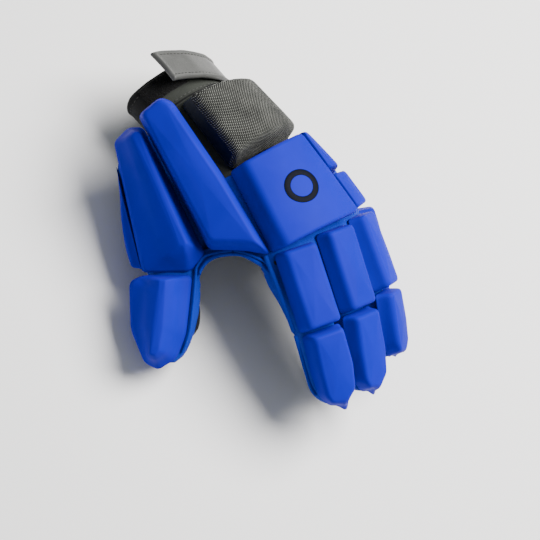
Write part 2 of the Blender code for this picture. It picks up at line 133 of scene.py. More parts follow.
def make_frames():
    """Every segment's frame in the row frame, in millimetres."""
    hand = at(*STAND_AT) @ turn(STAND_PITCH, "X") @ turn(STAND_ROLL, "Y")
    made = {"hand": hand}
    for name, finger in FINGERS.items():
        tilt = HAND_TILT + math.degrees(finger["along"] / HAND_RADIUS)
        knuckle = at(*hand_arch(finger["along"], finger["knuckle"], finger.get("out", 0.0)))
        root = hand @ knuckle @ turn(tilt, "Y") @ turn(finger["splay"], "Z")
        base = root @ turn(finger["curl"][0], "X")
        made[name + "_root"] = root
        made[name + "_base"] = base
        made[name + "_tip"] = base @ at(0, -finger["length"][0], 0) @ turn(finger["curl"][1], "X")
    made["web"] = hand @ facing(*WEB)
    made["thumb_base"] = hand @ facing(*THUMB_BASE)
    made["thumb_side"] = made["thumb_base"] @ at(-18.9, 0, -1.5) @ turn(-95.0, "Y")
    made["thumb_tip"] = hand @ facing(*THUMB_TIP)
    made["cuff"] = hand @ at(*WRIST_HINGE) @ turn(-WRIST_BEND, "X")
    made["strap"] = made["cuff"] @ at(*TAB_HINGE) @ turn(TAB_LIFT, "Y")
    return made


FRAMES = make_frames()


def place(segment, x, y, z):
    """A point of a segment in the row frame, in metres."""
    return FRAMES[segment] @ Vector((x, y, z)) * MM


# ---------------------------------------------------------------- meshes

CORNER_STEPS = 6


def link(made):
    bpy.context.scene.collection.objects.link(made)
    return made


def add_piece(name, made, looks):
    """An object from a bmesh that is already in the row frame, in metres."""
    bmesh.ops.recalc_face_normals(made, faces=made.faces)
    mesh = bpy.data.meshes.new(name)
    made.to_mesh(mesh)
    made.free()
    for look in looks:
        mesh.materials.append(look)
    mesh.shade_smooth()
    return link(bpy.data.objects.new(name, mesh))


def bridge(made, rows, looks=lambda i, j: 0):
    """Faces between neighbouring closed rows of vertices. looks(i, j) picks a face's material."""
    for i, (row, following) in enumerate(zip(rows, rows[1:])):
        for j in range(len(row)):
            k = (j + 1) % len(row)
            face = made.faces.new((row[j], row[k], following[k], following[j]))
            face.material_index = looks(i, j)


def loft(rings, close_start=False, close_end=False, looks=lambda i, j: 0):
    """Joins rings of points, each a closed loop of the same count."""
    made = bmesh.new()
    rows = [[made.verts.new(p) for p in ring] for ring in rings]
    count = len(rows[0])
    bridge(made, rows, looks)
    for closed, row in ((close_start, rows[0]), (close_end, rows[-1])):
        if closed:
            middle = made.verts.new(sum((v.co for v in row), Vector()) / count)
            for j in range(count):
                made.faces.new((row[j], row[(j + 1) % count], middle))
    return made


def inset(corners, distances):
    """The convex outline (anticlockwise) with each edge moved inwards by its own distance."""
    lines = []
    for i, corner in enumerate(corners):
        a, b = Vector(corner), Vector(corners[(i + 1) % len(corners)])
        along = (b - a).normalized()
        lines.append((a + Vector((-along.y, along.x)) * distances[i], along))
    made = []
    for (p, d), (q, e) in zip(lines[-1:] + lines[:-1], lines):
        t = ((q - p).x * e.y - (q - p).y * e.x) / (d.x * e.y - d.y * e.x)
        made.append(p + d * t)
    return made


def rounded(corners, radius, counts):
    """The outline with curved corners, and counts[i] points along the edge after corner i."""
    size = len(corners)
    starts, ends, made = [], [], []
    for i in range(size):
        before, corner, after = (Vector(corners[(i + k) % size]) for k in (-1, 0, 1))
        back, ahead = before - corner, after - corner
        starts.append(corner + back * min(radius / back.length, 0.42))
        ends.append(corner + ahead * min(radius / ahead.length, 0.42))
    for i in range(size):
        corner = Vector(corners[i])
        for step in range(CORNER_STEPS + 1):
            t = step / CORNER_STEPS
            made.append(starts[i] * (1 - t) ** 2 + corner * 2 * t * (1 - t) + ends[i] * t * t)
        following = starts[(i + 1) % size]
        for step in range(1, counts[i]):
            made.append(ends[i].lerp(following, step / counts[i]))
    return made


def spline(a, b, c, d, t):
    """The Catmull-Rom curve between b and c."""
    bend, twist = 2 * a - 5 * b + 4 * c - d, 3 * b - a - 3 * c + d
    return 0.5 * (2 * b + (c - a) * t + bend * t * t + twist * t ** 3)


def loop_point(corners, u):
    """A point on the closed smooth curve through the corners, u counted in corners."""
    i = int(u)
    return spline(*(corners[(i + o) % len(corners)] for o in (-1, 0, 1, 2)), u - i)


def smooth_line(points, count):
    """An open smooth curve through the points."""
    points = [Vector(p) for p in points]
    points = [points[0] * 2 - points[1]] + points + [points[-1] * 2 - points[-2]]
    spans = len(points) - 3
    places = [min(k * spans / count, spans - 1e-6) for k in range(count + 1)]
    return [spline(*points[int(u):int(u) + 4], u - int(u)) for u in places]


def circle(count):
    """The cosine and sine of evenly spaced angles."""
    return [(math.cos(math.tau * k / count), math.sin(math.tau * k / count)) for k in range(count)]


def ripple(point, size, seed):
    """Smooth noise between -1 and 1 at a point in millimetres."""
    return noise.noise(Vector(point) / size + Vector((seed * 7.3, seed * 3.1, seed * 5.7)))


# ---------------------------------------------------------------- materials

class Nodes:
    """A small builder for one material's node tree."""

    def __init__(self, name, **sockets):
        self.material = bpy.data.materials.new(name)
        self.material.use_nodes = True
        self.tree = self.material.node_tree
        self.shader = self.tree.nodes["Principled BSDF"]
        for socket, value in sockets.items():
            self.shader.inputs[socket.replace("_", " ")].default_value = value
        self.place = self.tree.nodes.new("ShaderNodeTexCoord").outputs["Object"]

    def new(self, kind, **settings):
        node = self.tree.nodes.new("ShaderNode" + kind)
        for key, value in settings.items():
            setattr(node, key, value)
        return node

    def link(self, source, target):
        self.tree.links.new(source, target)

    def texture(self, kind, output, **sockets):
        node = self.new(kind)
        for socket, value in sockets.items():
            node.inputs[socket].default_value = value
        self.link(self.place, node.inputs["Vector"])
        return node.outputs[output]

    def noise(self, scale, detail=2.0, roughness=0.5):
        return self.texture("TexNoise", "Fac", Scale=scale, Detail=detail, Roughness=roughness)

    def voronoi(self, scale, randomness=1.0):
        return self.texture("TexVoronoi", "Distance", Scale=scale, Randomness=randomness)

    def ramp(self, value, *stops):
        node = self.new("ValToRGB")
        while len(node.color_ramp.elements) < len(stops):
            node.color_ramp.elements.new(0.5)
        for element, (position, colour) in zip(node.color_ramp.elements, stops):
            element.position = position
            element.color = (*colour, 1.0)
        self.link(value, node.inputs["Fac"])
        return node.outputs["Color"]

    def math(self, operation, first, second=0.0):
        node = self.new("Math", operation=operation)
        for socket, value in zip(node.inputs, (first, second)):
            if isinstance(value, (int, float)):
                socket.default_value = value
            else:
                self.link(value, socket)
        return node.outputs[0]

    def mix(self, factor, first, second):
        node = self.new("Mix", data_type="RGBA")
        for socket, value in ((node.inputs[0], factor), (node.inputs[6], first), (node.inputs[7], second)):
            if isinstance(value, tuple):
                socket.default_value = (*value, 1.0)
            else:
                self.link(value, socket)
        return node.outputs[2]

    def bump(self, height, distance, strength=1.0, normal=None):
        node = self.new("Bump")
        node.inputs["Distance"].default_value = distance
        node.inputs["Strength"].default_value = strength
        self.link(height, node.inputs["Height"])
        if normal:
            self.link(normal, node.inputs["Normal"])
        return node.outputs["Normal"]

    def finish(self, colour=None, roughness=None, normal=None):
        for name, value in (("Base Color", colour), ("Roughness", roughness), ("Normal", normal)):
            if value is not None:
                self.link(value, self.shader.inputs[name])
        return self.material


def grey(value):
    return (value, value, value)


def soft(weight, roughness, tint):
    """The sockets of a cloth's sheen."""
    return {"Sheen_Weight": weight, "Sheen_Roughness": roughness, "Sheen_Tint": (*tint, 1.0)}


def blue_skin():
    """Foam with a matte blue stretch skin: a faint grain, slow changes of tone and a violet bloom."""
    look = Nodes("blue_skin", Specular_IOR_Level=0.05, **soft(0.03, 0.4, (0.55, 0.15, 1.0)))
    broad = look.noise(28.0, 3.0)
    grain = look.noise(1700.0, 3.0, 0.65)
    weave = look.voronoi(2600.0)
    tone = look.ramp(broad, (0.30, (0.0030, 0.0075, 0.36)), (0.70, (0.0060, 0.0100, 0.43)))
    colour = look.mix(look.math("MULTIPLY", grain, 0.22), tone, (0.002, 0.005, 0.25))
    rough = look.ramp(look.noise(60.0, 4.0), (0.3, grey(0.52)), (0.7, grey(0.62)))
    height = look.math("ADD", look.math("MULTIPLY", grain, 0.6), look.math("MULTIPLY", weave, 0.4))
    normal = look.bump(look.noise(90.0, 4.0, 0.55), 0.0006, 0.25, look.bump(height, 0.00012, 0.5))
    return look.finish(colour, rough, normal)


def blue_stretch():
    """The thinner blue knit of the stalls and gussets, a little darker and more ribbed than the pads."""
    look = Nodes("blue_stretch", Specular_IOR_Level=0.08, **soft(0.03, 0.4, (0.20, 0.35, 1.0)))
    knit = look.voronoi(1500.0, 0.55)
    tone = look.ramp(look.noise(40.0, 3.0), (0.3, (0.004, 0.026, 0.36)), (0.7, (0.007, 0.036, 0.46)))
    colour = look.mix(look.ramp(knit, (0.0, grey(0.0)), (0.6, grey(0.40))), tone, (0.001, 0.010, 0.16))
    normal = look.bump(look.noise(160.0, 3.0), 0.0008, 0.35, look.bump(knit, 0.00025, 0.6))
    return look.finish(colour, look.ramp(knit, (0.0, grey(0.60)), (0.6, grey(0.72))), normal)


def cloth(look, grain, patches, shades, folds, fine, dull):
    """Two shades in soft patches, over a fine grain and slow folds in the surface."""
    normal = look.bump(look.noise(folds[0], 3.0), folds[1], 0.3, look.bump(grain, *fine))
    (start, low), (end, high) = dull
    rough = look.ramp(grain, (start, grey(low)), (end, grey(high)))
    return look.finish(look.mix(patches, *shades), rough, normal)


def black_fabric():
    """Close black neoprene with a jersey face."""
    look = Nodes("black_fabric", Specular_IOR_Level=0.2, **soft(0.06, 0.5, (0.7, 0.75, 0.8)))
    return cloth(look, look.voronoi(1400.0, 0.7), look.noise(50.0, 3.0),
                 ((0.003, 0.0033, 0.004), (0.009, 0.0095, 0.010)), (110.0, 0.0008), (0.0002, 0.6),
                 ((0.0, 0.62), (0.6, 0.8)))


def side_fabric():
    """The smooth near-black navy cloth on the walls of the wrist pad."""
    look = Nodes("side_fabric", Specular_IOR_Level=0.2, **soft(0.05, 0.4, (0.4, 0.5, 1.0)))
    return cloth(look, look.noise(1500.0, 2.0, 0.6), look.noise(45.0, 3.0),
                 ((0.0012, 0.003, 0.012), (0.003, 0.009, 0.020)), (120.0, 0.0007), (0.00012, 0.5),
                 ((0.3, 0.5), (0.7, 0.62)))


def grey_jersey():
    """Charcoal jersey of the tube at the wrist and of the wristband's front."""
    look = Nodes("grey_jersey", Specular_IOR_Level=0.2, **soft(0.05, 0.5, (0.8, 0.85, 0.8)))
    return cloth(look, look.voronoi(1300.0, 0.6), look.noise(60.0, 3.0),
                 ((0.018, 0.020, 0.017), (0.036, 0.040, 0.034)), (120.0, 0.0008), (0.0002, 0.6),
                 ((0.0, 0.65), (0.6, 0.85)))


def grip_suede():
    """Black synthetic suede of the palm, with a fine nap."""
    look = Nodes("grip_suede", Specular_IOR_Level=0.2, **soft(0.06, 0.6, (0.8, 0.8, 0.85)))
    nap = look.noise(900.0, 5.0, 0.7)
    return cloth(look, nap, nap, ((0.004, 0.004, 0.005), (0.022, 0.022, 0.024)),
                 (140.0, 0.0009), (0.0002, 0.6), ((0.3, 0.7), (0.7, 0.9)))


def air_mesh():
    """Spacer mesh: staggered pale knots over dark holes, laid out in the piece's own weave coordinates."""
    look = Nodes("air_mesh", Specular_IOR_Level=0.35)
    weave = look.new("UVMap", uv_map="weave").outputs["UV"]
    split = look.new("SeparateXYZ")
    look.link(weave, split.inputs[0])
    u, v = split.outputs[0], split.outputs[1]
    across = look.math("SINE", look.math("MULTIPLY", look.math("ADD", u, v), math.pi))
    down = look.math("SINE", look.math("MULTIPLY", look.math("SUBTRACT", u, v), math.pi))
    knot = look.math("ABSOLUTE", look.math("MULTIPLY", across, down))
    wear = look.math("ADD", look.math("MULTIPLY", look.noise(90.0, 3.0), 0.4), 0.8)
    tone = look.ramp(look.math("MULTIPLY", knot, wear), (0.50, (0.003, 0.004, 0.003)),
                     (0.74, (0.014, 0.016, 0.013)), (1.0, (0.40, 0.41, 0.37)))
    normal = look.bump(knot, 0.0005, 0.9)
    return look.finish(tone, look.ramp(knot, (0.0, grey(0.85)), (1.0, grey(0.55))), normal)


def strap_rubber():
    """Grey matte rubber print of the strap tab."""
    look = Nodes("strap_rubber", Specular_IOR_Level=0.3, Coat_Weight=0.04, Coat_Roughness=0.35)
    grain = look.noise(1100.0, 4.0, 0.6)
    tone = look.ramp(look.noise(70.0, 4.0), (0.3, (0.058, 0.060, 0.057)), (0.7, (0.088, 0.090, 0.086)))
    colour = look.mix(look.math("MULTIPLY", grain, 0.3), tone, grey(0.025))
    normal = look.bump(look.noise(200.0, 3.0), 0.0004, 0.25, look.bump(grain, 0.00012, 0.6))
    return look.finish(colour, look.ramp(grain, (0.3, grey(0.40)), (0.7, grey(0.52))), normal)


def hook_loop():
    """The fuzzy face of the closing patches."""
    look = Nodes("hook_loop", Specular_IOR_Level=0.15, **soft(0.08, 0.6, (0.6, 0.6, 0.6)))
    loops = look.voronoi(1300.0, 0.9)
    colour = look.ramp(loops, (0.0, (0.012, 0.012, 0.013)), (0.6, (0.003, 0.003, 0.003)))
    rough = look.ramp(loops, (0.0, grey(0.75)), (0.5, grey(0.95)))
    return look.finish(colour, rough, look.bump(loops, 0.0006, 1.0))


def thread(name, colour):
    """Sewing thread: a twisted, slightly glossy cord."""
    look = Nodes(name, Sheen_Weight=0.04, Specular_IOR_Level=0.25)
    twist = look.noise(1800.0, 2.0)
    pale = tuple(min(1.0, c * 1.6) for c in colour)
    rough = look.ramp(twist, (0.3, grey(0.5)), (0.7, grey(0.7)))
    return look.finish(look.mix(twist, colour, pale), rough, look.bump(twist, 0.0002, 0.6))


def print_ink():
    """Dark blue-black ink of the plain mark on the knuckle pad."""
    look = Nodes("print_ink", Specular_IOR_Level=0.03)
    grain = look.noise(1500.0, 3.0, 0.6)
    colour = look.mix(grain, (0.002, 0.003, 0.007), (0.005, 0.006, 0.012))
    rough = look.ramp(grain, (0.3, grey(0.45)), (0.7, grey(0.6)))
    return look.finish(colour, rough, look.bump(grain, 0.0001, 0.4))


def make_looks():
    return {
        "skin": blue_skin(), "stretch": blue_stretch(), "black": black_fabric(), "side": side_fabric(),
        "mesh": air_mesh(), "suede": grip_suede(), "strap": strap_rubber(), "hook": hook_loop(),
        "grey_thread": thread("grey_thread", (0.035, 0.035, 0.034)),
        "dark_thread": thread("dark_thread", (0.030, 0.030, 0.029)),
        "jersey": grey_jersey(), "ink": print_ink(),
    }


# ---------------------------------------------------------------- binding pieces to the frame

def dress(nodes):
    if nodes:
        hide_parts(*nodes)


def attach(piece, body, slot, *nodes):
    """Binds a piece to one body, in place of the CAD's nodes. The slot is not used."""
    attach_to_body(piece, body)
    dress(nodes)


def bend_between(piece, first, second, start, end, slot, *nodes):
    """For fabric across a joint: bakes the piece's transform into its mesh, in place of the CAD's nodes,
    without binding it to a body. start and end, each (segment, x, y, z), are not used.
    """
    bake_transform(piece)
    dress(nodes)


# ---------------------------------------------------------------- pads

# The share of a wall's height that its rounded shoulder takes up, and the steps up the wall and over the top.
WALL_BEND = 0.30
WALL_STEPS, TOP_STEPS = 8, 8
BEAK_SPREAD = 3.6
PUFF_SIZE = 17.0
WRIST_PAD_HEIGHT = 15.0
# The threads' distances round the wrist and along it.
WEAVE_PITCH = (1.7, 1.27)


def pad(name, body, looks, corners, height, slopes=None, top=None, round=3.0, arch=flat, crown=0.8,
        fillet=3.2, ridge=None, puff=0.35, mesh_top=False, beak=None, segment=None, seed=0):
    """A moulded pad: a tucked base, slightly hollow walls, rounded shoulders and a gently crowned top.

    The top's outline is given, or lies inside the base by the slopes. fillet is one size or one for each
    edge. A beak pulls the seam out to a point. With mesh_top the last edge's wall takes the second look.
    The corners are in the body's own segment, unless another is named.
    """
    corners = [Vector(c) for c in corners]
    fillets = fillet if isinstance(fillet, list) else [fillet] * len(corners)
    top = [Vector(c) for c in top] if top else inset(corners, slopes)
    counts = [max(3, int((corners[(i + 1) % len(corners)] - c).length / 2.5)) for i, c in enumerate(corners)]

    def outline(shape, distances, radius):
        return rounded(inset(shape, distances), max(radius, 0.4), counts)

    none = [0.0] * len(corners)
    ridge = ridge or round * 0.8
    base, brim = outline(corners, none, round), outline(top, none, ridge)
    if beak:
        tip = Vector(beak)
        nearest = min(base, key=lambda p: (p - tip).length)
        base = [p + (tip - nearest) * math.exp(-((p - nearest).length / BEAK_SPREAD) ** 2) for p in base]
    tucked = [p.lerp(q, 0.15) for p, q in zip(outline(corners, [0.8] * len(corners), round), base)]
    lip = outline(top, fillets, ridge - min(fillets) * 0.3)
    rings = [[(p, 0.0) for p in tucked], [(p, 0.25) for p in base]]
    straight = 1 - WALL_BEND
    for step in range(1, WALL_STEPS):
        t = step / WALL_STEPS * straight
        hollow = 0.05 * math.sin(math.pi * step / WALL_STEPS)
        if beak:
            hollow += 0.6 * t * (1 - t / straight) ** 2
        rings.append([(b.lerp(c, t + hollow), height * t) for b, c in zip(base, brim)])
    for step in range(WALL_STEPS + 1):
        t = step / WALL_STEPS
        z = height * (straight * (1 - t) ** 2 + 2 * t * (1 - t) + t * t)
        rings.append([(b.lerp(c, straight) * (1 - t) ** 2 + c * 2 * t * (1 - t) + d * t * t, z)
                      for b, c, d in zip(base, brim, lip)])
    middle = sum(lip, Vector((0, 0))) / len(lip)
    for step in range(1, TOP_STEPS + 1):
        t = step / TOP_STEPS * 0.97
        rings.append([(p.lerp(middle, t), height + crown * (1 - (1 - t) ** 2)) for p in lip])
    to_row = FRAMES[segment or body]

    def worn(p, z):
        swell = puff * ripple((p.x, p.y, z), PUFF_SIZE, seed) * min(1.0, z / 3.0)
        return to_row @ arch(p.x, p.y, max(z + swell * 0.6, 0.0)) * MM

    wall = len(base) - counts[-1] - CORNER_STEPS

    def wall_look(i, j):
        return 1 if mesh_top and i <= WALL_STEPS and j >= wall else 0

    made = loft([[worn(p, z) for p, z in ring] for ring in rings], True, True, wall_look)
    if mesh_top:
        lay_weave(made, to_row)
    piece = add_piece(name, made, looks)
    attach(piece, body, "black_mesh" if mesh_top else "blue_skin", name + "_cover", name + "_foam")
    return piece


def lay_weave(made, to_row):
    """Weave coordinates for the mesh cloth: distance round the wrist and along it, in threads."""
    (across, along), level = WEAVE_PITCH, WRIST_RADIUS + WRIST_PAD_HEIGHT
    layer = made.loops.layers.uv.new("weave")
    back = to_row.inverted()
    for face in made.faces:
        for loop in face.loops:
            p = back @ (loop.vert.co / MM)
            angle = math.atan2(p.x - WRIST_CENTRE_X, p.z + WRIST_RADIUS)
            out = Vector((p.x - WRIST_CENTRE_X, p.z + WRIST_RADIUS)).length - level
            loop[layer].uv = (angle * level / across, (p.y + min(0.0, out)) / along)


def finger_pads(looks):
    for seed, (name, finger) in enumerate(FINGERS.items()):
        half = finger["width"] / 2
        near, far = finger["length"]
        low = -near + GROOVE
        pad(name + "_proximal_pad", name + "_base", [looks["skin"]],
            [(-half, low), (half, low), (half, -GROOVE), (-half, -GROOVE)], FINGER_PAD_HEIGHT,
            slopes=[0.6, 3.2, 0.8, 3.2], round=3.6, fillet=[2.4, 3.0, 2.6, 3.2], crown=0.7, seed=seed)
        pad(name + "_distal_pad", name + "_tip", [looks["skin"]],
            [(x * half, min(y * far, -GROOVE)) for x, y in DISTAL_BASE], FINGER_PAD_HEIGHT,
            top=[(x * half, y * far) for x, y in DISTAL_TOP], crown=0.7, beak=BEAKS[name], seed=seed + 4,
            fillet=[2.4, 2.6, 2.8, 2.8, 2.2, 2.6, 2.6, 2.2])


def hand_pads(looks):
    """The pads of the hand, web, thumb and wrist. Gives back the knuckle pad, which takes the mark."""
    skin = [looks["skin"]]
    knuckle_pad = pad(
        "knuckle_pad", "hand", skin,
        [(-41.0, 1.2), (15.0, 1.2), (11.0, 27.0), (6.0, 55.0), (-38.5, 53.0)], 13.0,
        slopes=[-1.6, 0.3, 0.3, 0.8, 5.5], arch=hand_arch, fillet=[2.2, 0.9, 0.9, 2.2, 3.4], crown=0.5,
        puff=0.25, seed=9)
    pad("edge_pad_lower", "hand", skin, [(15.4, 1.0), (42.5, 5.0), (37.5, 26.3), (11.5, 26.6)], 12.9,
        slopes=[0.6, 14.0, 1.4, 0.2], arch=hand_arch, fillet=[2.2, 3.4, 2.0, 0.7], crown=0.4, puff=0.2,
        seed=10)
    pad("edge_pad_upper", "hand", skin, [(11.2, 27.6), (36.0, 27.3), (25.5, 52.0), (6.4, 55.3)], 12.9,
        slopes=[1.4, 14.0, 0.8, 0.2], arch=hand_arch, fillet=[1.6, 2.4, 1.6, 0.6], crown=0.4, puff=0.2,
        seed=11)
    pad("web_pad", "web", skin, WEB_PAD, 12.0, slopes=[4.0, 4.0, 1.8, 1.8, 2.0, 2.5, 3.0], round=3.5,
        fillet=2.4, seed=12)
    pad("thumb_base_pad", "thumb_base", skin,
        [(-18.6, -37.5), (7.6, -44.0), (18.2, -36.0), (2.2, 42.3), (-6.0, 44.5), (-16.0, 38.5)], 14.0,
        top=[(5.6, -30.5), (8.5, -32.0), (11.3, -30.5), (1.0, 37.0), (-2.0, 38.5), (-4.8, 36.5)],
        fillet=1.3, ridge=1.5, crown=0.3, seed=13)
    pad("thumb_side_pad", "thumb_base", skin,
        [(-13.0, -33.0), (-1.0, -35.5), (-0.8, 14.0), (-5.0, 27.0), (-9.5, 20.0)], 6.0,
        top=[(-11.0, -30.5), (-3.0, -32.5), (-3.0, -14.0), (-4.6, -11.0), (-9.4, -13.0)], fillet=1.6,
        segment="thumb_side", seed=14)
    pad("thumb_tip_pad", "thumb_tip", skin,
        [(-6.6, -50.6), (3.0, -51.5), (10.5, -48.0), (16.2, -34.0), (19.6, -0.5), (-8.0, -0.5), (-15.8, -4.0),
         (-14.8, -31.0)], 13.0,
        top=[(-3.4, -45.5), (0.0, -46.0), (2.6, -43.5), (4.6, -30.0), (6.2, -4.0), (1.6, -4.0), (0.6, -11.0),
             (-1.8, -30.0)],
        round=4.0, fillet=0.9, ridge=1.2, crown=0.25, beak=(0.6, -53.0), seed=15)
    pad("wrist_pad", "cuff", [looks["mesh"], looks["side"]],
        [(-29.0, 3.0), (23.5, 4.0), (18.5, 47.0), (-26.0, 53.3)], WRIST_PAD_HEIGHT,
        slopes=[2.5, 4.5, 3.0, 4.5], round=4.0, arch=wrist_arch, mesh_top=True, seed=16)
    return knuckle_pad


# ---------------------------------------------------------------- sleeves: the fabric tubes under the pads

RING = 40
SQUARENESS = 2.7
# The places round a ring where the palm side's suede starts and ends.
SEAMS = (24, 36)
BEND_LENGTH = 18.0
CREASE_LENGTH, CREASE_DEPTH = 8.5, 0.6
SLACK, SEAM_DEPTH = 0.40, 0.35
STITCH_RADIUS = 0.27
THUMB_PATH_X, THUMB_PATH_Y = -10.6, -40.4


def ease(t):
    t = min(max(t, 0.0), 1.0)
    return t * t * (3 - 2 * t)


def halfway(first, second, share):
    """The second frame's rotation reached by this share from the first's."""
    return first.to_quaternion().slerp(second.to_quaternion(), share).to_matrix().to_4x4()


def along_finger(name, distance):
    """The frame at a distance beyond the knuckle, turned gradually through the finger's two bends."""
    near = FINGERS[name]["length"][0]
    root, base, tip = (FRAMES[name + end] for end in ("_root", "_base", "_tip"))
    if distance < near / 2:
        turned = halfway(root, base, ease(distance / BEND_LENGTH + 0.5))
        middle = (base if distance > 0 else root) @ Vector((0, -distance, 0))
    else:
        turned = halfway(base, tip, ease((distance - near) / BEND_LENGTH + 0.5))
        middle = base @ Vector((0, -distance, 0))
        if distance >= near:
            middle = tip @ Vector((0, near - distance, 0))
    return at(*middle) @ turned


def along_thumb(distance):
    """The same for the thumb, from the frame at its tip joint."""
    base, tip = FRAMES["thumb_base"], FRAMES["thumb_tip"]
    turned = halfway(base, tip, ease(distance / BEND_LENGTH + 0.5))
    if distance < 0:
        return at(*(base @ Vector((THUMB_PATH_X, THUMB_PATH_Y - distance, 0)))) @ turned
    return at(*(tip @ Vector((0, -distance, 0)))) @ turned


def stations(start, end, step):
    count = max(2, round((end - start) / step))
    return [start + (end - start) * i / count for i in range(count + 1)]


def sleeve_rings(frame_at, shape_at, distances, folds, seed):
    """Rings of a worn fabric tube. shape_at gives its two sides and its floor; it creases at the folds."""
    rings = []
    for distance in distances:
        left, right, floor = shape_at(distance)
        frame_here = frame_at(distance)
        centre = Vector(((left + right) / 2, 0, floor / 2))
        crease = CREASE_DEPTH * sum(math.exp(-((distance - fold) / CREASE_LENGTH) ** 2) for fold in folds)
        ring = []
        for k, (across, up) in enumerate(circle(RING)):
            x = centre.x + (right - left) / 2 * math.copysign(abs(across) ** (2 / SQUARENESS), across)
            z = centre.z - floor / 2 * math.copysign(abs(up) ** (2 / SQUARENESS), up) - 0.15
            below = min(1.0, max(0.0, 0.55 - up))
            slack = SLACK * ripple((x, distance, z), 9.0, seed) * (0.3 + 0.7 * below)
            fold = math.sin(distance * 1.35 + 2.2 * ripple((x, distance, z), 13.0, seed + 3)) - 0.5
            sunk = SEAM_DEPTH if k in SEAMS else 0.0
            point = Vector((x, 0, z))
            out = (point - centre).normalized()
            ring.append(frame_here @ (point + out * (slack + crease * below * fold - sunk)) * MM)
        rings.append(ring)
    return rings


def across_path(along, up):
    """Two directions across a path: sideways and over."""
    along = along.normalized()
    side = along.cross(up).normalized()
    return side, side.cross(along)


def spaced(path, step):
    """Places every step along a path, as pairs of an index and the share of the span after it."""
    places, travelled, due = [], 0.0, 0.0
    for i in range(len(path) - 1):
        span = (path[i + 1] - path[i]).length
        while span > 0 and due <= travelled + span:
            places.append((i, (due - travelled) / span))
            due += step
        travelled += span
    return places


def add_stitches(made, path, outs, look, pitch=3.0):
    """Short tapered stitches along a path in metres, half sunk in the cloth that faces outs."""
    places = spaced(path, pitch * MM)
    for (i, s), (j, t) in zip(places, places[1:]):
        a, b = path[i].lerp(path[i + 1], s), path[j].lerp(path[j + 1], t)
        side, over = across_path(b - a, outs[i])
        spokes = [side * x + over * y for x, y in circle(5)]
        rows = []
        for share, size in ((0.14, 0.4), (0.30, 1.0), (0.66, 1.0), (0.82, 0.4)):
            centre, radius = a.lerp(b, share), STITCH_RADIUS * size * MM
            rows.append([made.verts.new(centre + spoke * radius) for spoke in spokes])
        for row in (rows[0], rows[-1]):
            made.faces.new(row).material_index = look
        bridge(made, rows, lambda i, j: look)


def add_sleeve(name, looks, rings, seams, skip, **ends):
    """A fabric tube with suede between its two seams, and stitches inside them past the skipped rings."""
    first, last = seams
    made = loft(rings, looks=lambda i, j: 1 if first <= j < last else 0, **ends)
    rings = rings[skip:]
    centres = [sum(ring, Vector()) / len(ring) for ring in rings]
    for column in (first + 1, last - 1):
        path = [ring[column] for ring in rings]
        add_stitches(made, path, [(point - centre).normalized() for point, centre in zip(path, centres)], 2)
    return add_piece(name, made, [looks["stretch"], looks["suede"], looks["grey_thread"]])


def finger_sleeve(name, looks, seed):
    finger = FINGERS[name]
    near, far = finger["length"]
    total = near + far - 1.6
    half = finger["width"] / 2 - 1.4
    spare = 6.6 if name == "index" else 0.0

    def shape(distance):
        tip = math.sqrt(max(0.0, 1.0 - max(0.0, (distance - total + 13.0) / 13.4) ** 2))
        loose = spare * (1.0 - ease((distance - 4.0) / 46.0))
        floor = -17.8 * (0.30 + 0.70 * tip)
        side = (half - 0.9 * ease((distance - near) / 12.0)) * (0.12 + 0.88 * tip)
        return -side - loose, side, floor

    def frame_at(distance):
        return along_finger(name, distance)

    root, base, tip, joined = name + "_root", name + "_base", name + "_tip", near / 2
    rings = sleeve_rings(frame_at, shape, stations(-9.0, joined + 2.0, 1.3), (0.0, near), seed)
    sleeve = add_sleeve(name + "_proximal_sleeve", looks, rings, SEAMS, 4)
    bend_between(sleeve, "hand", base, (root, 0, 7, -8), (base, 0, -9, -8), "blue_lining",
                 name + "_proximal_stall")
    rings = sleeve_rings(frame_at, shape, stations(joined, total + 0.2, 1.3), (0.0, near), seed)
    sleeve = add_sleeve(name + "_distal_sleeve", looks, rings, SEAMS, 2, close_end=True)
    bend_between(sleeve, base, tip, (base, 0, 9 - near, -8), (tip, 0, -9, -8), "blue_lining",
                 name + "_distal_stall")


def between(x, table):
    """The value at x, straight between the pairs of a table."""
    for (a, low), (b, high) in zip(table, table[1:]):
        if x <= b:
            return low + (high - low) * max(0.0, x - a) / (b - a)
    return table[-1][1]


# The distance beyond the thumb's joint, and how far the sleeve reaches to the fingers' side there.
THUMB_RIGHT = [(0, 23.3), (12, 23.2), (21, 22.4), (32, 20.0), (38, 17.8), (42, 16.0), (46, 13.6), (49, 10.0),
               (51, 7.0)]


def thumb_shape(distance):
    """The thumb sleeve's sides and floor: it opens into the palm behind the joint and is round at the tip."""
    if distance < 0:
        back = -distance
        left = -6.0 - 2.0 * ease(back / 20.0) + 6.0 * ease((back - 62.0) / 24.0)
        right = 23.3 + 20.0 * ease((back - 1.0) / 17.0) - 22.5 * ease((back - 24.0) / 32.0)
        end = math.sqrt(max(0.0, 1.0 - max(0.0, (back - 64.0) / 16.0) ** 2))
        middle = (left + right) / 2
        floor = -21.0 - 3.0 * ease(back / 18.0) + 5.0 * ease((back - 30.0) / 40.0)
        return middle + (left - middle) * end, middle + (right - middle) * end, floor * (0.35 + 0.65 * end)
    tip = math.sqrt(max(0.0, 1.0 - max(0.0, (distance - 22.0) / 28.0) ** 2.2))
    left = 3.0 - 9.0 * tip ** 0.8
    return left, between(distance, THUMB_RIGHT), -21.0 * (0.36 + 0.64 * tip)


